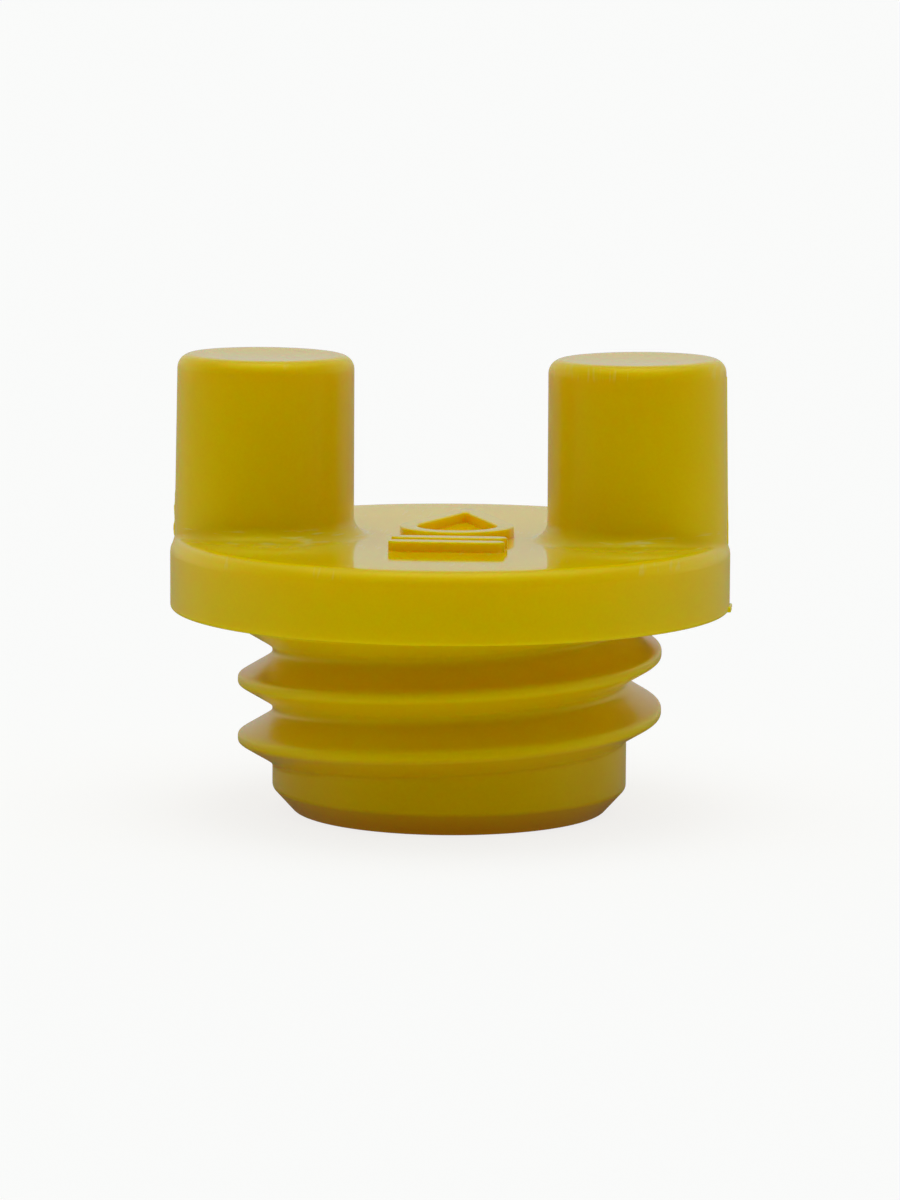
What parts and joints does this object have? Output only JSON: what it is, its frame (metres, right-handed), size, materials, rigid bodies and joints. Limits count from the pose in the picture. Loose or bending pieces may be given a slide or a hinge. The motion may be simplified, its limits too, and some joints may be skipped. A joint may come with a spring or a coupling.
{
  "type": "threaded filler plug",
  "caption": "Hand-turned screw plug with a round flange, two upright posts, a coarse outside thread, a hollow nose and a sealing ring under the flange.",
  "frame": {"origin": "on the plug's axis, in the plane of the flange's underside, which seats on the filler neck", "axes": "+Z along the axis towards the posts, X through both posts, right-handed"},
  "size_m": [0.0402, 0.04, 0.0327],
  "materials": {
    "yellow_plastic": "glossy saturated yellow moulded plastic with faint mould texture",
    "black_rubber": "satin black nitrile rubber"
  },
  "bodies": {
    "root": {"plug_body": "yellow_plastic", "sealing_ring": "black_rubber"}
  },
  "joints": []
}
